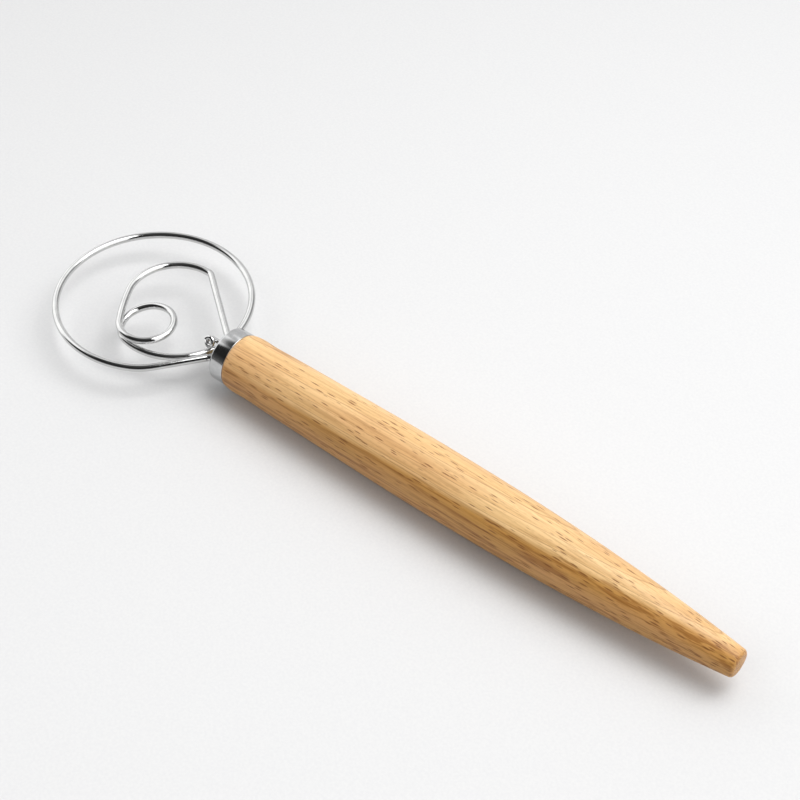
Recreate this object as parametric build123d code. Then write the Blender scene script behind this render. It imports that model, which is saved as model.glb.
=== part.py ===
from build123d import *
import math
import os

# Danish dough whisk: a turned wooden handle with a steel ferrule, and a head of two bent wires.
# +X runs along the handle from its butt to the head, +Z is up, and the wire head lies flat in XY.
# The origin is the centre of the butt's flat end. All sizes are in millimetres and degrees.

# Turned handle
handle_length = 240.0        # butt face to the shoulder that the ferrule stops against
butt_radius = 5.9
butt_edge_round = 1.8
palm_place = 30.0            # these three places are measured from the butt face
palm_radius = 8.95
taper_place = 72.0
taper_radius = 11.9
belly_place = 143.0
belly_radius = 13.55
neck_setback = 48.0          # these two places are measured back from the ferrule
neck_radius = 13.05
shoulder_setback = 13.0
shoulder_radius = 12.35
shoulder_end_slope = -15.0   # slope of the outline where it meets the ferrule
spigot_edge_bevel = 0.5

# Ferrule, a drawn steel cup with a hole in its front face
ferrule_radius = 11.9
ferrule_length = 7.2
ferrule_wall = 0.7
ferrule_front_round = 1.0
ferrule_back_round = 0.25
ferrule_fit_clearance = 0.05    # all round, between the wood's spigot and the cup
ferrule_face_clearance = 0.2    # between the spigot's end and the cup's front wall

# Wires and where their ends sit in the bore, in steps of one strand pitch from the axis
wire_diameter = 3.0
strand_gap = 0.1
outer_near_steps = -1.9
outer_far_steps = 1.9
inner_out_steps = -1.03
inner_back_steps = -0.35
inner_height_steps = 0.75    # the inner wire starts this far above the outer loop's level
tail_length = 25.0           # wire end to the front of the ferrule
mouth_clearance = 0.2        # ferrule's front face to the first bend
bore_clearance = 0.25        # outermost strand to the bore's wall
bore_end_room = 4.0          # wire ends to the bottom of the bore
drill_point_angle = 118.0

# Outer loop
loop_radius = 41.7
loop_offset = -4.0           # the loop's centre lies this far to one side of the handle's axis
loop_mouth_bend = 4.6
loop_leave_angle = 119.0     # where the round part of the loop ends, from +X
loop_neck_run = 22.0         # straight stretch between the loop and the mouth
loop_far_reach = 1.1         # ferrule's front face to the far strand's bend

# Inner wire: a straight run, a D-shaped sweep and a small coil
inner_out_bend = 4.5
inner_out_angle = 37.1
inner_run = 40.7
corner_bend = 4.4
corner_angle = 36.7
sweep_bend = 20.5
sweep_angle = 117.4
ease_bend = 108.0
ease_angle = 10.2
coil_radius = 11.5
coil_overlap_angle = 41.5    # how far the coil runs on past one full turn
coil_drop_steps = 1.2        # by then it is this many strand pitches below its start
inner_back_bend = 5.0
inner_back_run = 0.5         # straight stretch just before the mouth bend
inner_back_reach = 2.7       # ferrule's front face to the returning strand's bend

# Retaining eye, a pigtail of thinner wire driven into the middle of the strands
eye_wire_diameter = 2.0
eye_bend = 1.75
eye_tilt = 45.0              # the eye's plane leans this far from level
eye_shank_side = 0.5         # shank's place in the bore, to the side and above the axis
eye_shank_height = 4.2
eye_reach = 7.4              # from the ferrule's front face to where the eye starts to curl
eye_tail_length = 20.0
eye_extra_angle = 80.0
eye_turn_gap = 0.12

# Adhesive
plug_recess = 1.5            # below the spigot's end

# Sizes that follow from the ones above
mouth = handle_length + ferrule_length
spigot_radius = ferrule_radius - ferrule_wall - ferrule_fit_clearance
spigot_end = mouth - ferrule_wall - ferrule_face_clearance
strand_pitch = wire_diameter + strand_gap
bore_radius = abs(outer_near_steps) * strand_pitch + wire_diameter / 2 + bore_clearance
tail_end = mouth - tail_length
bore_bottom = tail_end - bore_end_room
drill_point_length = bore_radius / math.tan(math.radians(drill_point_angle / 2))
first_bend = mouth + mouth_clearance


class BentWire:
    """A wire as it is bent: straight feeds, bends of a given radius, and turns of the plane it bends in.

    heading is the way the wire runs, and side is the way a bend of a positive angle goes."""

    def __init__(self, start, side=Vector(0, 1, 0)):
        self.place = start
        self.heading = Vector(1, 0, 0)
        self.side = side
        self.section = Plane(origin=start, z_dir=self.heading)
        self.edges = []

    def feed(self, length):
        end = self.place + self.heading * length
        self.edges.append(Line(self.place, end))
        self.place = end

    def bend(self, radius, angle):
        way = math.copysign(1, angle)
        centre = self.place + self.side * radius * way

        def on_arc(share):
            turned = math.radians(abs(angle) * share)
            across = self.side * (-way * radius * math.cos(turned))
            return centre + across + self.heading * (radius * math.sin(turned))

        end = on_arc(1)
        self.edges.append(ThreePointArc(self.place, on_arc(0.5), end))
        turned = math.radians(angle)
        heading = self.heading * math.cos(turned) + self.side * math.sin(turned)
        self.side = self.side * math.cos(turned) - self.heading * math.sin(turned)
        self.heading = heading
        self.place = end

    def turn_plane(self, angle):
        turned = math.radians(angle)
        up = self.heading.cross(self.side)
        self.side = self.side * math.cos(turned) + up * math.sin(turned)

    def half_turn(self, radius, drop):
        """A half turn in a plane tipped so that the wire ends that much below where it began."""
        tip = math.degrees(math.asin(drop / (2 * radius)))
        self.turn_plane(-tip)
        self.bend(radius, 180)
        self.turn_plane(-tip)

    def sweep_home(self, strand_side, bend_reach, bend_radius, run):
        """One arc, one straight run and the mouth bend that lead to a strand's line, then its tail."""
        bend_centre = Vector(mouth + bend_reach, strand_side + bend_radius, self.place.Z)
        away = self.place - bend_centre
        arc_radius = (away.dot(away) - bend_radius**2 - run**2) / (
            2 * (bend_radius - away.dot(self.side))
        )
        across = bend_centre - (self.place + self.side * arc_radius)
        run_heading = math.atan2(across.Y, across.X) + math.atan2(arc_radius + bend_radius, run)
        arc_turn = run_heading - math.atan2(self.heading.Y, self.heading.X)
        self.bend(arc_radius, math.degrees(arc_turn) % 360)
        self.feed(run)
        self.bend(bend_radius, -((math.degrees(run_heading) - 180) % 360))
        self.feed(self.place.X - tail_end)

    def solid(self, diameter):
        return sweep(self.section * Circle(diameter / 2), path=Wire(self.edges))


def turned_handle():
    """The wood in one turned piece: the grip, the spigot that the ferrule covers, and a blind bore."""
    shoulder = Vector(handle_length - shoulder_setback, shoulder_radius)
    end_slope = Vector(1, math.tan(math.radians(shoulder_end_slope)))
    edge_centre = Vector(butt_edge_round, butt_radius - butt_edge_round)
    edge_middle = edge_centre + Vector(-butt_edge_round, butt_edge_round) * math.sqrt(0.5)
    with BuildPart() as handle:
        with BuildSketch(Plane.XY):
            with BuildLine():
                Line((0, 0), (0, edge_centre.Y))
                ThreePointArc((0, edge_centre.Y), edge_middle, (edge_centre.X, butt_radius))
                grip = Spline(
                    (edge_centre.X, butt_radius),
                    (palm_place, palm_radius),
                    (taper_place, taper_radius),
                    (belly_place, belly_radius),
                    (handle_length - neck_setback, neck_radius),
                    shoulder,
                )
                Spline(shoulder, (handle_length, ferrule_radius), tangents=[grip % 1, end_slope])
                Polyline(
                    (handle_length, ferrule_radius),
                    (handle_length, spigot_radius),
                    (spigot_end - spigot_edge_bevel, spigot_radius),
                    (spigot_end, spigot_radius - spigot_edge_bevel),
                    (spigot_end, bore_radius),
                    (bore_bottom, bore_radius),
                    (bore_bottom - drill_point_length, 0),
                    (0, 0),
                )
            make_face()
        revolve(axis=Axis.X)
    return handle.part


def drawn_ferrule():
    """A cup drawn from sheet, its front edge rounded and a hole punched for the wires."""
    inner_radius = ferrule_radius - ferrule_wall
    with BuildPart() as ferrule:
        with BuildSketch(Plane.XY) as outline:
            with BuildLine():
                Polyline(
                    (handle_length, inner_radius),
                    (handle_length, ferrule_radius),
                    (mouth, ferrule_radius),
                    (mouth, bore_radius),
                    (mouth - ferrule_wall, bore_radius),
                    (mouth - ferrule_wall, inner_radius),
                    close=True,
                )
            make_face()
            corners = outline.vertices().group_by(Axis.Y)[-1].sort_by(Axis.X)
            fillet(corners[-1], ferrule_front_round)
            fillet(corners[0], ferrule_back_round)
        revolve(axis=Axis.X)
    return ferrule.part


def outer_loop():
    """The big mixing loop, both of whose ends go down the bore."""
    near = outer_near_steps * strand_pitch
    wire = BentWire(Vector(tail_end, near, 0))
    wire.feed(first_bend - tail_end)
    # The first bend's circle touches the loop's from outside, which sets where the loop's centre is.
    rise = loop_offset - (near - loop_mouth_bend)
    between_centres = loop_radius + loop_mouth_bend
    turn = 90 - math.degrees(math.asin(rise / between_centres))
    wire.bend(loop_mouth_bend, -turn)
    wire.bend(loop_radius, turn + loop_leave_angle + 90)
    wire.sweep_home(outer_far_steps * strand_pitch, loop_far_reach, loop_mouth_bend, loop_neck_run)
    return wire.solid(wire_diameter)


def inner_wire():
    """Straight out to a corner, round a D-shaped sweep into a coil, and home beneath its own start."""
    start = Vector(tail_end, inner_out_steps * strand_pitch, inner_height_steps * strand_pitch)
    wire = BentWire(start)
    wire.feed(first_bend - tail_end)
    wire.bend(inner_out_bend, -inner_out_angle)
    wire.feed(inner_run)
    wire.bend(corner_bend, corner_angle)
    wire.bend(sweep_bend, sweep_angle)
    wire.bend(ease_bend, ease_angle)
    wire.bend(coil_radius, 180)
    wire.half_turn(coil_radius, coil_drop_steps * strand_pitch)
    wire.bend(coil_radius, coil_overlap_angle)
    home_side = inner_back_steps * strand_pitch
    wire.sweep_home(home_side, inner_back_reach, inner_back_bend, inner_back_run)
    return wire.solid(wire_diameter)


def retaining_eye():
    """A pigtail that locks the strands: its shank is driven between them and its curl stands out."""
    lean = math.radians(eye_tilt)
    curl_side = Vector(0, math.cos(lean), -math.sin(lean))
    wire = BentWire(Vector(mouth - eye_tail_length, eye_shank_side, eye_shank_height), curl_side)
    wire.feed(eye_tail_length + eye_reach)
    half_pitch = (eye_wire_diameter + eye_turn_gap) / 2
    wire.half_turn(eye_bend, -half_pitch)
    wire.half_turn(eye_bend, -half_pitch)
    wire.bend(eye_bend, eye_extra_angle)
    return wire.solid(eye_wire_diameter)


def adhesive_plug(strands):
    """Resin poured round the wire ends, which fills the bore almost to the spigot's end."""
    plug_end = spigot_end - plug_recess
    with BuildPart() as plug:
        with BuildSketch(Plane.XY):
            with BuildLine():
                Polyline(
                    (bore_bottom - drill_point_length, 0),
                    (bore_bottom, bore_radius),
                    (plug_end, bore_radius),
                    (plug_end, 0),
                    close=True,
                )
            make_face()
        revolve(axis=Axis.X)
    return plug.part - strands


wires = {
    "outer_loop": outer_loop(),
    "inner_wire": inner_wire(),
    "retaining_eye": retaining_eye(),
}
nodes = {
    "handle": turned_handle(),
    "ferrule": drawn_ferrule(),
    **wires,
    "adhesive_plug": adhesive_plug(list(wires.values())),
}
os.makedirs("parts", exist_ok=True)
for name, piece in nodes.items():
    export_step(piece, f"parts/{name}.step")
    print(name, "volume", round(piece.volume, 1), "mm3")
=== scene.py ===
"""A Danish dough whisk: a turned wooden handle with a steel ferrule, and a head of two bent wires."""
import math

import bmesh
import bpy
from mathutils import Matrix, Quaternion, Vector
from mathutils.geometry import interpolate_bezier


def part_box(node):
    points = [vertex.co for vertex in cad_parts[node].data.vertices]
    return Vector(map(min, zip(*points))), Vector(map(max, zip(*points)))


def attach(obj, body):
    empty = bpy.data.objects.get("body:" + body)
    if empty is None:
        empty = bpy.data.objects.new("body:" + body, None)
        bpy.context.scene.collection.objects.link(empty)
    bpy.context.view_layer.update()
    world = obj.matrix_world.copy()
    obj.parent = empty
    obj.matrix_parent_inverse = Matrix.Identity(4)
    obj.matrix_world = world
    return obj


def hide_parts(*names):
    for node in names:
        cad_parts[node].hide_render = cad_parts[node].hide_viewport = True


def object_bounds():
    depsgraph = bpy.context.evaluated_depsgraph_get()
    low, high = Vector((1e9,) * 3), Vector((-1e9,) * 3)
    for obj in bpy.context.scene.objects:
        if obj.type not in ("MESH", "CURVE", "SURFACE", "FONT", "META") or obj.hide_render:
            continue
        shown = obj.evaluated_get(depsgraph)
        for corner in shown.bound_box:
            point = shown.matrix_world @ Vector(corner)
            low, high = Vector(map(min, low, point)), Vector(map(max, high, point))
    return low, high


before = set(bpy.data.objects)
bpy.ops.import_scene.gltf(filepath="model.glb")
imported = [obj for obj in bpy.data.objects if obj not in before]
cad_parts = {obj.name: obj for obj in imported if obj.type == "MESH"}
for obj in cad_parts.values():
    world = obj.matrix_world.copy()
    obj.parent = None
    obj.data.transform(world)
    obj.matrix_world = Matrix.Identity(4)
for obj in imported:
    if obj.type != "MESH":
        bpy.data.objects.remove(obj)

cad_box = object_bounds()

# ---------------------------------------------------------------------------------------------
# Handle
# One piece of rubberwood, turned between centres, sanded along the grain and left almost bare.
# The spigot at its front carries the ferrule, and a blind bore in the spigot takes the wire ends.

butt_radius = 0.0059
butt_edge_round = 0.0018
palm = (0.030, 0.00895)            # place from the butt and radius
taper = (0.072, 0.0119)
belly_place = 0.143
neck_setback = 0.048               # these two are measured back from the ferrule
neck_radius = 0.01305
shoulder_setback = 0.013
shoulder_radius = 0.01235
shoulder_end_slope = math.radians(-15)
spigot_clearance = 0.00005
spigot_edge_bevel = 0.0005
joint_bevel = 0.00035              # the wood's edge at the ferrule is broken, which leaves a fine groove
ferrule_wall = 0.0007
drill_point_angle = math.radians(118)
handle_sides = 160
places_between_stations = 26

ferrule_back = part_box("ferrule")[0].x
ferrule_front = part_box("ferrule")[1].x
ferrule_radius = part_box("ferrule")[1].z
belly_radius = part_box("handle")[1].z
spigot_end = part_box("handle")[1].x
spigot_radius = ferrule_radius - ferrule_wall - spigot_clearance
bore_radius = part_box("adhesive_plug")[1].z
drill_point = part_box("adhesive_plug")[0].x
bore_bottom = drill_point + bore_radius / math.tan(drill_point_angle / 2)


def faired(stations, last_slope):
    """A fair curve through stations of place and radius, as a turner blends them by eye."""
    steps = [(b[0] - a[0], (b[1] - a[1]) / (b[0] - a[0])) for a, b in zip(stations, stations[1:])]
    slopes = [(s * d + t * c) / (c + d) for (c, s), (d, t) in zip(steps, steps[1:])]
    slopes = [2 * steps[0][1] - slopes[0], *slopes, last_slope]
    points = []
    for (x, r), (far_x, far_r), slope, far_slope in zip(stations, stations[1:], slopes, slopes[1:]):
        third = (far_x - x) / 3
        pull = (x + third, r + third * slope, 0)
        far_pull = (far_x - third, far_r - third * far_slope, 0)
        span = interpolate_bezier((x, r, 0), pull, far_pull, (far_x, far_r, 0), places_between_stations)
        points += [(point.x, point.y) for point in span[:-1]]
    return points + [stations[-1]]


def rounded(x, r, radius, start, stop, steps=8):
    """Points of an arc about a place and radius of the turning, from one angle to another."""
    turns = [math.radians(start + (stop - start) * step / steps) for step in range(steps + 1)]
    return [(x + radius * math.cos(turn), r + radius * math.sin(turn)) for turn in turns]


def turned(name, outline, sides, closed=False):
    """A piece spun about the handle's axis from an outline of places along it and radii."""
    mesh = bmesh.new()
    points = [mesh.verts.new((x, 0, r)) for x, r in outline]
    edges = [mesh.edges.new(pair) for pair in zip(points, points[1:])]
    if closed:
        edges.append(mesh.edges.new((points[-1], points[0])))
    bmesh.ops.spin(
        mesh, geom=points + edges, cent=(0, 0, 0), axis=(1, 0, 0),
        angle=math.tau, steps=sides, use_merge=True,
    )
    bmesh.ops.remove_doubles(mesh, verts=mesh.verts, dist=1e-7)
    bmesh.ops.dissolve_degenerate(mesh, edges=mesh.edges, dist=1e-7)
    bmesh.ops.recalc_face_normals(mesh, faces=mesh.faces)
    return finished(name, mesh)


def finished(name, mesh, sharp_from=math.radians(38)):
    """Puts a piece's mesh in the scene, smooth except where two faces meet at a real edge."""
    data = bpy.data.meshes.new(name)
    mesh.to_mesh(data)
    mesh.free()
    data.shade_smooth()
    data.set_sharp_from_angle(angle=sharp_from)
    piece = bpy.data.objects.new(name, data)
    bpy.context.scene.collection.objects.link(piece)
    return piece


stations = [
    (butt_edge_round, butt_radius),
    palm,
    taper,
    (belly_place, belly_radius),
    (ferrule_back - neck_setback, neck_radius),
    (ferrule_back - shoulder_setback, shoulder_radius),
    (ferrule_back - joint_bevel, ferrule_radius),
]
handle = turned(
    "turned_handle",
    [
        (0, 0),
        (0, (butt_radius - butt_edge_round) / 2),
        *rounded(butt_edge_round, butt_radius - butt_edge_round, butt_edge_round, 180, 90)[:-1],
        *faired(stations, last_slope=math.tan(shoulder_end_slope)),
        (ferrule_back, ferrule_radius - joint_bevel),
        (ferrule_back, spigot_radius),
        (spigot_end - spigot_edge_bevel, spigot_radius),
        (spigot_end, spigot_radius - spigot_edge_bevel),
        (spigot_end, bore_radius),
        (bore_bottom, bore_radius),
        (drill_point, 0),
    ],
    handle_sides,
)
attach(handle, "root")
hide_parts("handle")

# Rubberwood: cream outside and tan towards the pith, with open pores that show as brown dashes.
# The pith lies below the handle and towards the camera, so the tan wood on the underside is
# painted shade as well as the wood's own banding.
outer_cream = (0.84, 0.565, 0.275, 1)
tan_wood_and_painted_shade = (0.54, 0.275, 0.066, 1)
late_brown = (0.33, 0.13, 0.022, 1)
pore_brown = (0.22, 0.075, 0.015, 1)
pink_cast = (0.64, 0.33, 0.13, 1)
ring_width = 0.0036
pith_place = (0, 0.035, -0.045)
pith_drift = 0.022                 # the rings come this much nearer the pith for each metre of handle
cream_from = 0.0615                # distance from the pith where the tan wood turns to cream
cream_by = 0.0646
ring_sway = 0.0045
pore_sway = 0.0009
# How close each pattern's features lie, per metre along the grain and across it
sway_grain = (9, 70, 70)
wander_grain = (30, 150, 150)
cast_grain = (14, 75, 75)
fibre_grain = (20, 1500, 1500)
streak_grain = (26, 820, 820)
pore_grain = (105, 900, 900)
fine_pore_grain = (300, 2000, 2000)


def add(tree, kind, inputs=None, **settings):
    """Adds a shader node, sets it and plugs in its inputs, each a value or another node's output."""
    made = tree.nodes.new("ShaderNode" + kind)
    for name, value in settings.items():
        setattr(made, name, value)
    for socket, value in (inputs or {}).items():
        if isinstance(value, bpy.types.NodeSocket):
            tree.links.new(value, made.inputs[socket])
        else:
            made.inputs[socket].default_value = value
    return made


def reckon(tree, operation, *values):
    """The output of a maths node."""
    return add(tree, "Math", dict(enumerate(values)), operation=operation).outputs[0]


def blended(tree, share, first, second, blend="MIX"):
    """The output of a colour mix node."""
    mix = add(tree, "Mix", {0: share, 6: first, 7: second}, data_type="RGBA", blend_type=blend)
    return mix.outputs[2]


def stretched(tree, place, scale, **settings):
    """A place scaled along each axis, so that a pattern read from it is drawn out."""
    return add(tree, "Mapping", {"Vector": place, "Scale": scale, **settings}).outputs[0]


def noise(tree, place, scale, detail):
    """A noise texture whose pattern is drawn out by a scale along each axis."""
    return add(tree, "TexNoise", {0: stretched(tree, place, scale), "Scale": 1, "Detail": detail})


def eased(tree, value, start, stop, first=0.0, last=1.0, way="SMOOTHSTEP"):
    """The output of a step that goes from a first level to a last one between two values."""
    inputs = {0: value, 1: start, 2: stop, 3: first, 4: last}
    return add(tree, "MapRange", inputs, interpolation_type=way).outputs[0]


def ramp(tree, share, stops):
    """A colour ramp's output, from stops of a position and a grey level or a colour."""
    made = add(tree, "ValToRGB", {0: share})
    elements = made.color_ramp.elements
    while len(elements) < len(stops):
        elements.new(0.5)
    for element, (position, level) in zip(elements, stops):
        element.position = position
        element.color = level if isinstance(level, tuple) else (level, level, level, 1)
    return made.outputs[0]


def new_finish(name):
    """A material, its node tree, its shader and the object coordinates to lay patterns on."""
    finish = bpy.data.materials.new(name)
    finish.use_nodes = True
    tree = finish.node_tree
    shader = tree.nodes["Principled BSDF"]
    return finish, tree, shader, add(tree, "TexCoord").outputs["Object"]


def raised(tree, shader, height, strength, depth):
    """Gives a surface the fine relief of a height pattern, to a depth in metres."""
    bump = add(tree, "Bump", {"Height": height, "Strength": strength, "Distance": depth})
    tree.links.new(bump.outputs[0], shader.inputs["Normal"])


def rubberwood():
    """Cream and tan wood with growth rings, a pink cast, dark streaks, open pores and fine fibres."""
    finish, tree, shader, place = new_finish("rubberwood")
    sway = noise(tree, place, sway_grain, detail=2)
    swayed = add(
        tree, "VectorMath", {0: sway.outputs["Color"], 1: (ring_sway,) * 3, 2: place},
        operation="MULTIPLY_ADD",
    ).outputs[0]
    # Growth rings are shells about a pith that runs beside the handle and slightly across it.
    from_pith = stretched(tree, swayed, (0, 1, 1), Location=tuple(-c for c in pith_place))
    drift = add(
        tree, "VectorMath", {0: place, 1: (pith_drift, 0, 0)}, operation="DOT_PRODUCT",
    ).outputs[1]
    depth = add(tree, "VectorMath", {0: from_pith}, operation="LENGTH").outputs[1]
    depth = reckon(tree, "ADD", depth, drift)
    season = reckon(tree, "FRACT", reckon(tree, "DIVIDE", depth, ring_width))
    early_stops = [(0.0, 0.3), (0.14, 1.0), (0.45, 0.6), (0.8, 0.1), (0.96, 0.0), (1.0, 0.3)]
    early = ramp(tree, season, early_stops)
    late_line = ramp(tree, season, [(0.0, 0.6), (0.04, 0.0), (0.93, 0.0), (0.985, 1.0)])
    # Nearer the pith than this the wood is tan, and that tan wood covers the underside: painted shade as
    # well as banding.
    cream = eased(tree, depth, cream_from, cream_by)
    tan = reckon(tree, "SUBTRACT", 1.0, cream)

    # Pores are long thin cells of a random pattern, open at their middles and widest in early wood.
    wander = noise(tree, place, wander_grain, detail=1)
    pore_place = add(
        tree, "VectorMath", {0: wander.outputs["Color"], 1: (0.0, pore_sway, pore_sway), 2: place},
        operation="MULTIPLY_ADD",
    ).outputs[0]
    crowd = reckon(tree, "MULTIPLY_ADD", early, 0.13, 0.20)
    crowd = reckon(tree, "MULTIPLY_ADD", tan, 0.05, crowd)
    dashes = add(tree, "TexVoronoi", {0: stretched(tree, pore_place, pore_grain), "Scale": 1})
    open_to = reckon(tree, "MULTIPLY", crowd, 0.4)
    pores = eased(tree, dashes.outputs["Distance"], open_to, crowd, first=1.0, last=0.0)
    fine_dashes = add(tree, "TexVoronoi", {0: stretched(tree, pore_place, fine_pore_grain), "Scale": 1})
    fine_pores = eased(
        tree, fine_dashes.outputs["Distance"], 0.08, 0.34, first=1.0, last=0.0, way="LINEAR",
    )
    fibres = noise(tree, pore_place, fibre_grain, detail=4).outputs["Fac"]
    streaks = noise(tree, swayed, streak_grain, detail=2).outputs["Fac"]
    cast = noise(tree, place, cast_grain, detail=1).outputs["Fac"]

    colour = blended(tree, cream, tan_wood_and_painted_shade, outer_cream)
    colour = blended(tree, reckon(tree, "MULTIPLY", early, 0.35), colour, tan_wood_and_painted_shade)
    colour = blended(tree, ramp(tree, cast, [(0.42, 0.0), (0.68, 0.5)]), colour, pink_cast)
    dark_streaks = ramp(tree, streaks, [(0.53, 0.0), (0.62, 0.95)])
    # Dark streaks are thickest in the tan wood on the underside, which adds painted shade there over the
    # real streaks.
    streak_share_with_painted_shade = reckon(tree, "MULTIPLY_ADD", tan, 0.62, 0.22)
    dark_streaks = reckon(tree, "MULTIPLY", dark_streaks, streak_share_with_painted_shade)
    colour = blended(tree, dark_streaks, colour, late_brown)
    colour = blended(tree, reckon(tree, "MULTIPLY", late_line, 0.55), colour, late_brown)
    colour = blended(tree, reckon(tree, "MULTIPLY", fine_pores, 0.3), colour, late_brown)
    colour = blended(tree, reckon(tree, "MULTIPLY", pores, 0.85), colour, pore_brown)
    fibre_tone = ramp(
        tree, fibres, [(0.34, (0.78, 0.73, 0.65, 1)), (0.50, (0.97, 0.965, 0.95, 1)), (0.68, 1.0)],
    )
    colour = blended(tree, 1.0, colour, fibre_tone, "MULTIPLY")
    tree.links.new(colour, shader.inputs["Base Color"])

    roughness = reckon(tree, "MULTIPLY_ADD", fibres, 0.14, 0.40)
    roughness = reckon(tree, "MULTIPLY_ADD", pores, 0.2, roughness)
    tree.links.new(roughness, shader.inputs["Roughness"])
    height = reckon(tree, "MULTIPLY_ADD", pores, -1.0, reckon(tree, "MULTIPLY", fibres, 0.3))
    height = reckon(tree, "MULTIPLY_ADD", fine_pores, -0.3, height)
    raised(tree, shader, height, strength=0.5, depth=0.0001)
    shader.inputs["Coat Weight"].default_value = 0.1
    shader.inputs["Coat Roughness"].default_value = 0.3
    return finish


handle.data.materials.append(rubberwood())

# ---------------------------------------------------------------------------------------------
# Ferrule
# A cup drawn from thin steel sheet, polished on a lathe and plated. Its front edge keeps the draw
# radius, its back edge is only broken, and a round hole is punched in its face for the wires.

front_round = 0.001
back_round = 0.00025
hole_edge_round = 0.00015
ferrule_sides = 144
dull_plate = (0.50, 0.505, 0.51, 1)
bright_plate = (0.57, 0.57, 0.57, 1)
turning_line_scale = (9000, 60, 60)   # per metre along the handle and across it
scuff_scale = (900, 5200, 700)
handling_scale = 420

cup_inside = ferrule_radius - ferrule_wall
ferrule = turned(
    "drawn_ferrule",
    [
        (ferrule_back, cup_inside),
        *rounded(ferrule_back + back_round, ferrule_radius - back_round, back_round, 180, 90),
        *rounded(ferrule_front - front_round, ferrule_radius - front_round, front_round, 90, 0, 14),
        *rounded(
            ferrule_front - hole_edge_round, bore_radius + hole_edge_round, hole_edge_round, 0, -90, 4,
        ),
        (ferrule_front - ferrule_wall, bore_radius),
        (ferrule_front - ferrule_wall, cup_inside),
    ],
    ferrule_sides,
    closed=True,
)
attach(ferrule, "root")
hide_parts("ferrule")


def lathe_polished_plate():
    finish, tree, shader, place = new_finish("lathe_polished_plate")
    turning_lines = noise(tree, place, turning_line_scale, detail=3).outputs["Fac"]
    handling = add(tree, "TexNoise", {0: place, "Scale": handling_scale, "Detail": 4}).outputs["Fac"]
    scuffs = noise(tree, place, scuff_scale, detail=2).outputs["Fac"]
    scuffed = ramp(tree, scuffs, [(0.62, 0.0), (0.78, 1.0)])
    tone = ramp(tree, handling, [(0.35, dull_plate), (0.7, bright_plate)])
    tree.links.new(tone, shader.inputs["Base Color"])
    roughness = reckon(tree, "MULTIPLY_ADD", turning_lines, 0.10, 0.06)
    roughness = reckon(tree, "MULTIPLY_ADD", scuffed, 0.12, roughness)
    tree.links.new(roughness, shader.inputs["Roughness"])
    height = reckon(tree, "MULTIPLY_ADD", scuffed, -0.4, turning_lines)
    raised(tree, shader, height, strength=0.12, depth=0.00002)
    shader.inputs["Metallic"].default_value = 1.0
    return finish


ferrule.data.materials.append(lathe_polished_plate())

# ---------------------------------------------------------------------------------------------
# Outer loop
# One length of bright drawn steel wire. It leaves the mouth, bends hard to one side, runs round
# as a circle, comes back along a shallow neck, and both of its ends go down the bore.

wire_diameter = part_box("outer_loop")[1].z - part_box("outer_loop")[0].z
strand_gap = 0.0001
strand_pitch = wire_diameter + strand_gap
tail_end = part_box("outer_loop")[0].x
mouth = ferrule_front
mouth_clearance = 0.0002
first_bend = mouth + mouth_clearance
outer_near_side = -1.9 * strand_pitch
outer_far_side = 1.9 * strand_pitch
loop_radius = 0.0417
loop_offset = -0.004
mouth_bend = 0.0046
leave_angle = 119
neck_run = 0.022
far_reach = 0.0011
wire_sides = 36
degrees_in_a_step = 2.5
die_line_scale = (18, 6500, 6500)     # per metre along the wire and across it
nick_scale = (2600, 900, 900)
haze_scale = 160


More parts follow.
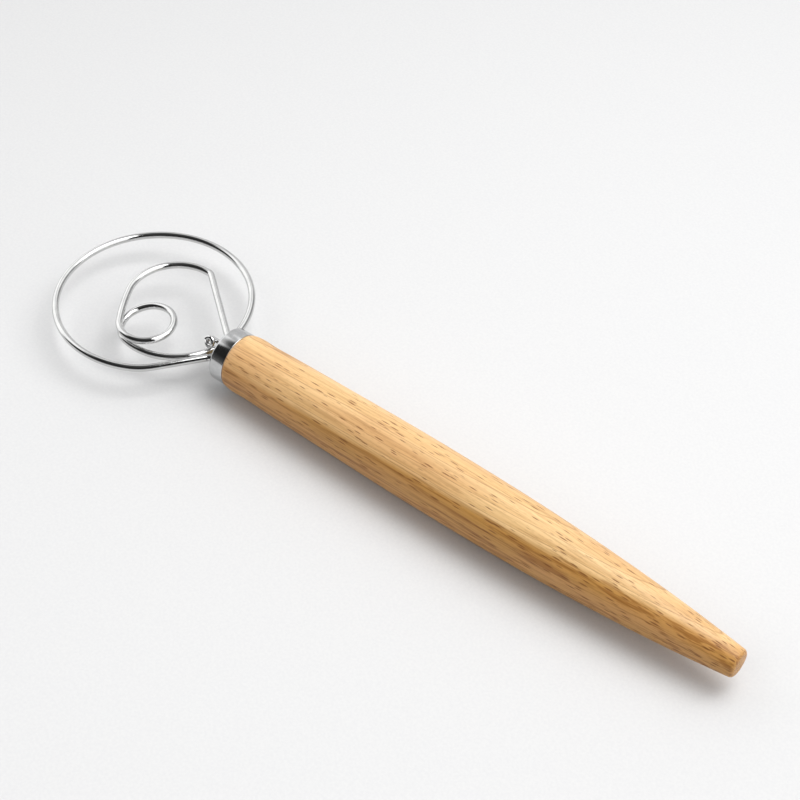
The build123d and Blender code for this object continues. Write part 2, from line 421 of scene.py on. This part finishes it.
class WireBender:
    """Bends a wire as it is done at the bench: straight feeds, bends, and turns of the bending plane.

    heading is the way the wire runs, and side is the way a bend of a positive angle goes. Every point
    of the wire's skin keeps its place on the straight wire in the attribute "as_drawn"."""

    def __init__(self, start, diameter, side=Vector((0, 1, 0))):
        self.place = Vector(start)
        self.heading = Vector((1, 0, 0))
        self.side = side
        self.drawn = 0.0
        self.mesh = bmesh.new()
        self.as_drawn = self.mesh.verts.layers.float_vector.new("as_drawn")
        quarter_turn = Matrix.Rotation(math.radians(90), 4, "Y")
        ring = bmesh.ops.create_circle(
            self.mesh, cap_ends=True, segments=wire_sides, radius=diameter / 2,
            matrix=Matrix.Translation(self.place) @ quarter_turn,
        )["verts"]
        for point in ring:
            point[self.as_drawn] = point.co - self.place
        self.end = list(self.mesh.edges)

    def grow(self, move, length):
        """Extrudes the open end by one ring, which a move carries on."""
        grown = bmesh.ops.extrude_edge_only(self.mesh, edges=self.end)["geom"]
        ring = [part for part in grown if isinstance(part, bmesh.types.BMVert)]
        self.end = [part for part in grown if isinstance(part, bmesh.types.BMEdge)]
        bmesh.ops.transform(self.mesh, matrix=move, verts=ring)
        self.drawn += length
        for point in ring:
            point[self.as_drawn].x = self.drawn

    def feed(self, length):
        self.grow(Matrix.Translation(self.heading * length), length)
        self.place = self.place + self.heading * length

    def bend(self, radius, angle):
        """Bends the wire by an angle in degrees about a former of that radius."""
        centre = self.place + self.side * math.copysign(radius, angle)
        axis = self.heading.cross(self.side)
        steps = max(1, math.ceil(abs(angle) / degrees_in_a_step))
        turn = Matrix.Rotation(math.radians(angle / steps), 4, axis)
        move = Matrix.Translation(centre) @ turn @ Matrix.Translation(-centre)
        for _ in range(steps):
            self.grow(move, radius * math.radians(abs(angle) / steps))
        whole = Matrix.Rotation(math.radians(angle), 3, axis)
        self.place = centre + whole @ (self.place - centre)
        self.heading = whole @ self.heading
        self.side = whole @ self.side

    def turn_plane(self, angle):
        self.side = Matrix.Rotation(math.radians(angle), 3, self.heading) @ self.side

    def half_turn(self, radius, drop):
        """A half turn in a plane tipped so that the wire ends that much below where it began."""
        tip = math.degrees(math.asin(drop / (2 * radius)))
        self.turn_plane(-tip)
        self.bend(radius, 180)
        self.turn_plane(-tip)

    def sweep_home(self, strand_side, bend_reach, bend_radius, run):
        """One arc, one straight run and the mouth bend that lead to a strand's line, then its tail."""
        bend_centre = Vector((mouth + bend_reach, strand_side + bend_radius, self.place.z))
        away = self.place - bend_centre
        arc_radius = (away.dot(away) - bend_radius**2 - run**2) / (
            2 * (bend_radius - away.dot(self.side))
        )
        across = bend_centre - (self.place + self.side * arc_radius)
        run_heading = math.atan2(across.y, across.x) + math.atan2(arc_radius + bend_radius, run)
        arc_turn = run_heading - math.atan2(self.heading.y, self.heading.x)
        self.bend(arc_radius, math.degrees(arc_turn) % 360)
        self.feed(run)
        self.bend(bend_radius, -((math.degrees(run_heading) - 180) % 360))
        self.feed(self.place.x - tail_end)

    def cut(self, name):
        """Cuts the wire off square and hands over the finished piece."""
        bmesh.ops.contextual_create(self.mesh, geom=self.end)
        bmesh.ops.recalc_face_normals(self.mesh, faces=self.mesh.faces)
        return finished(name, self.mesh)


wire = WireBender((tail_end, outer_near_side, 0), wire_diameter)
wire.feed(first_bend - tail_end)
rise = loop_offset - (outer_near_side - mouth_bend)
mouth_turn = 90 - math.degrees(math.asin(rise / (loop_radius + mouth_bend)))
wire.bend(mouth_bend, -mouth_turn)
wire.bend(loop_radius, mouth_turn + leave_angle + 90)
wire.sweep_home(outer_far_side, far_reach, mouth_bend, neck_run)
outer_loop = wire.cut("outer_loop_wire")
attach(outer_loop, "root")
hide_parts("outer_loop")


def bright_drawn_wire(name, tone_low, tone_high):
    """Polished wire: faint die lines along it, a little haze from handling, and odd fine scuffs."""
    finish, tree, shader, place = new_finish(name)
    drawn = add(tree, "Attribute", attribute_name="as_drawn").outputs["Vector"]
    die_lines = noise(tree, drawn, die_line_scale, detail=3).outputs["Fac"]
    haze = add(tree, "TexNoise", {0: place, "Scale": haze_scale, "Detail": 5}).outputs["Fac"]
    nicks = noise(tree, drawn, nick_scale, detail=2).outputs["Fac"]
    nicked = ramp(tree, nicks, [(0.68, 0.0), (0.76, 1.0)])
    tone = ramp(tree, haze, [(0.35, tone_low), (0.7, tone_high)])
    tree.links.new(tone, shader.inputs["Base Color"])
    hazed = ramp(tree, haze, [(0.45, 0.0), (0.75, 0.06)])
    roughness = reckon(tree, "MULTIPLY_ADD", die_lines, 0.07, 0.03)
    roughness = reckon(tree, "ADD", hazed, roughness)
    roughness = reckon(tree, "MULTIPLY_ADD", nicked, 0.12, roughness)
    tree.links.new(roughness, shader.inputs["Roughness"])
    height = reckon(tree, "MULTIPLY_ADD", nicked, -0.5, die_lines)
    raised(tree, shader, height, strength=0.1, depth=0.00002)
    shader.inputs["Metallic"].default_value = 1.0
    return finish


wire_finish = bright_drawn_wire("bright_drawn_wire", (0.56, 0.56, 0.56, 1), (0.63, 0.63, 0.625, 1))
outer_loop.data.materials.append(wire_finish)

# ---------------------------------------------------------------------------------------------
# Inner wire
# A second length of the same wire: a straight run to a corner, a D-shaped sweep that tightens into
# a small coil, and a return strand that passes beneath its own start on the way to the mouth.

inner_out_side = -1.03 * strand_pitch
inner_back_side = -0.35 * strand_pitch
inner_height = 0.75 * strand_pitch
out_bend = (0.0045, -37.1)          # these bends are a radius and an angle in degrees
inner_run = 0.0407
sweep_bends = [(0.0044, 36.7), (0.0205, 117.4), (0.108, 10.2)]
coil_radius = 0.0115
coil_drop = 1.2 * strand_pitch
coil_overlap = 41.5
back_bend = 0.005
back_run = 0.0005
back_reach = 0.0027

wire = WireBender((tail_end, inner_out_side, inner_height), wire_diameter)
wire.feed(first_bend - tail_end)
wire.bend(*out_bend)
wire.feed(inner_run)
for radius, angle in sweep_bends:
    wire.bend(radius, angle)
wire.bend(coil_radius, 180)
wire.half_turn(coil_radius, coil_drop)
wire.bend(coil_radius, coil_overlap)
wire.sweep_home(inner_back_side, back_reach, back_bend, back_run)
inner_wire = wire.cut("inner_coil_wire")
inner_wire.data.materials.append(wire_finish)
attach(inner_wire, "root")
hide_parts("inner_wire")

# ---------------------------------------------------------------------------------------------
# Retaining eye
# A pigtail of thinner bright wire. Its shank is driven between the strands to lock them in the
# bore, and its curl of a little over one turn stands out in front of the ferrule.

eye_wire = 0.002
eye_bend = 0.00175
eye_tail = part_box("retaining_eye")[0].x
eye_side = 0.0005
eye_height = 0.0042
eye_reach = 0.0074
eye_tilt = math.radians(45)
eye_turn_gap = 0.00012
eye_half_pitch = (eye_wire + eye_turn_gap) / 2
eye_last_turn = 80

curl_side = Vector((0, math.cos(eye_tilt), -math.sin(eye_tilt)))
wire = WireBender((eye_tail, eye_side, eye_height), eye_wire, curl_side)
wire.feed(mouth + eye_reach - eye_tail)
wire.half_turn(eye_bend, -eye_half_pitch)
wire.half_turn(eye_bend, -eye_half_pitch)
wire.bend(eye_bend, eye_last_turn)
retaining_eye = wire.cut("retaining_pigtail")
retaining_eye.data.materials.append(
    bright_drawn_wire("bright_pigtail_wire", (0.60, 0.60, 0.60, 1), (0.68, 0.68, 0.675, 1))
)
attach(retaining_eye, "root")
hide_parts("retaining_eye")

# ---------------------------------------------------------------------------------------------
# Adhesive plug
# Resin poured round the wire ends. It fills the bore almost to the spigot's end, climbs the wall
# of the bore as it wets it, and has set hard and a little yellow.

plug_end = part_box("adhesive_plug")[1].x
meniscus = 0.0007
plug_sides = 96
resin_amber = (0.50, 0.36, 0.17, 1)
resin_straw = (0.66, 0.52, 0.28, 1)
cloud_scale = 260
bubble_scale = 900

plug = turned(
    "adhesive_plug_resin",
    [
        (drill_point, 0),
        (bore_bottom, bore_radius),
        # The resin's surface falls away from the wall, first steeply and then to its level.
        (plug_end, bore_radius),
        (plug_end - 0.6 * meniscus, bore_radius - 0.45 * meniscus),
        (plug_end - 0.9 * meniscus, bore_radius - 1.3 * meniscus),
        (plug_end - meniscus, bore_radius - 3 * meniscus),
        (plug_end - meniscus, 0),
    ],
    plug_sides,
)
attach(plug, "root")
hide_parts("adhesive_plug")


def cured_resin():
    finish, tree, shader, place = new_finish("cured_resin")
    cloud = add(tree, "TexNoise", {0: place, "Scale": cloud_scale, "Detail": 3}).outputs["Fac"]
    bubbles = add(tree, "TexVoronoi", {0: place, "Scale": bubble_scale}).outputs["Distance"]
    pitted = ramp(tree, bubbles, [(0.10, 1.0), (0.22, 0.0)])
    tone = ramp(tree, cloud, [(0.3, resin_amber), (0.7, resin_straw)])
    tree.links.new(tone, shader.inputs["Base Color"])
    tree.links.new(reckon(tree, "MULTIPLY_ADD", pitted, 0.2, 0.22), shader.inputs["Roughness"])
    height = reckon(tree, "MULTIPLY_ADD", pitted, -1.0, cloud)
    raised(tree, shader, height, strength=0.4, depth=0.00008)
    shader.inputs["Subsurface Weight"].default_value = 0.15
    shader.inputs["Subsurface Radius"].default_value = (0.0012, 0.0008, 0.0004)
    shader.inputs["Subsurface Scale"].default_value = 1.0
    return finish


plug.data.materials.append(cured_resin())

# ---------------------------------------------------------------------------------------------
# Studio
# A pale board to lie on, a broad soft light almost overhead, a second one to the side of the grip,
# a fill across from them, and screens and dark walls that polished metal shows.

low, high = cad_box
middle = (Vector(low) + Vector(high)) / 2
length = high[0] - low[0]
floor_level = -belly_radius
floor_half_width = 12 * length
board_tooth_scale = 900

bench = bmesh.new()
bmesh.ops.create_grid(bench, x_segments=2, y_segments=2, size=floor_half_width)
bmesh.ops.translate(bench, verts=bench.verts, vec=(middle.x, middle.y, floor_level))
floor = finished("floor", bench)


def pale_board():
    finish, tree, shader, place = new_finish("pale_board")
    tooth = add(tree, "TexNoise", {0: place, "Scale": board_tooth_scale, "Detail": 3}).outputs["Fac"]
    tone = ramp(tree, tooth, [(0.3, (0.65, 0.65, 0.655, 1)), (0.7, (0.68, 0.68, 0.68, 1))])
    tree.links.new(tone, shader.inputs["Base Color"])
    shader.inputs["Roughness"].default_value = 0.7
    shader.inputs["Specular IOR Level"].default_value = 0.2
    return finish


floor.data.materials.append(pale_board())

camera_heading = math.radians(-52.655)
camera_dip = math.radians(46.208)
camera_roll = math.radians(1.762)
camera_distance = 0.73067
aim = middle + Vector((0.00712, -0.02068, 0))

looking = Vector((
    math.cos(camera_dip) * math.cos(camera_heading),
    math.cos(camera_dip) * math.sin(camera_heading),
    -math.sin(camera_dip),
))
camera = bpy.data.objects.new("camera", bpy.data.cameras.new("camera"))
camera.data.lens = 81
camera.data.sensor_width = 36
camera.data.clip_start = 0.01
camera.location = aim - looking * camera_distance
turned_camera = looking.to_track_quat("-Z", "Y") @ Quaternion((0, 0, 1), camera_roll)
camera.rotation_euler = turned_camera.to_euler()
bpy.context.scene.collection.objects.link(camera)
bpy.context.scene.camera = camera

away = Vector((math.cos(camera_heading), math.sin(camera_heading), 0))
rightward = away.cross(Vector((0, 0, 1)))


def softbox(name, lean_right, lean_away, distance, size, power, in_metal=True):
    """A square light aimed at the object from overhead, leant to the right and away from the camera.

    A light that is not in_metal shines on everything but shows in no glossy reflection."""
    lean = rightward * math.tan(math.radians(lean_right)) + away * math.tan(math.radians(lean_away))
    way = (lean + Vector((0, 0, 1))).normalized()
    lamp = bpy.data.objects.new(name, bpy.data.lights.new(name, "AREA"))
    lamp.data.size = size
    lamp.data.energy = power
    lamp.location = middle + way * distance
    lamp.rotation_euler = way.to_track_quat("Z", "Y").to_euler()
    lamp.visible_glossy = in_metal
    bpy.context.scene.collection.objects.link(lamp)


softbox("overhead_softbox", lean_right=16, lean_away=4, distance=0.95, size=0.55, power=3.8)
softbox("side_softbox", lean_right=40, lean_away=10, distance=1.2, size=0.5, power=2.6)
softbox(
    "fill_softbox", lean_right=-38, lean_away=-34, distance=1.3, size=0.9, power=4.0, in_metal=False,
)


def studio_room(panels, wall_levels, backdrop):
    """The room about the bench, by bearing from the camera's right hand and by height in degrees.

    A panel is a pale screen: a level, its first and last bearing, its lowest and highest edge, and
    how softly it ends. The camera itself sees a pale backdrop past the floor's edge."""
    world = bpy.data.worlds.new("studio")
    world.use_nodes = True
    tree = world.node_tree
    direction = add(tree, "TexCoord").outputs["Generated"]
    toward_right, toward_away = (
        add(tree, "VectorMath", {0: direction, 1: way}, operation="DOT_PRODUCT").outputs[1]
        for way in (rightward, away)
    )
    upward = add(tree, "SeparateXYZ", {0: direction}).outputs["Z"]
    bearing = reckon(tree, "DEGREES", reckon(tree, "ARCTAN2", toward_away, toward_right))
    height = reckon(tree, "DEGREES", reckon(tree, "ARCSINE", upward))
    level = ramp(tree, upward, wall_levels)
    for brightness, first, last, low_edge, high_edge, soft in panels:
        share = 1.0
        for value, edge, sense in (
            (bearing, first, 1), (bearing, last, -1), (height, low_edge, 1), (height, high_edge, -1),
        ):
            inside = eased(tree, value, edge - soft * sense, edge + soft * sense)
            share = reckon(tree, "MULTIPLY", share, inside)
        level = blended(tree, share, level, (brightness, brightness, brightness, 1))
    seen = add(tree, "LightPath").outputs["Is Camera Ray"]
    background = tree.nodes["Background"]
    tree.links.new(blended(tree, seen, level, backdrop), background.inputs["Color"])
    bpy.context.scene.world = world


studio_room(
    panels=[
        (0.45, -2, 62, -40, 38, 5),
        (0.85, 58, 108, -40, 60, 8),
        (1.6, -58, 0, -40, 64, 1.5),
        (1.5, -44, 92, 37, 77, 5),
        (1.6, 107, 172, -40, 57, 6),
    ],
    wall_levels=[(0.0, 0.24), (0.2, 0.10), (0.45, 0.025), (0.8, 0.025), (1.0, 0.10)],
    backdrop=(0.80, 0.80, 0.81, 1),
)
bpy.context.scene.view_settings.view_transform = "Standard"
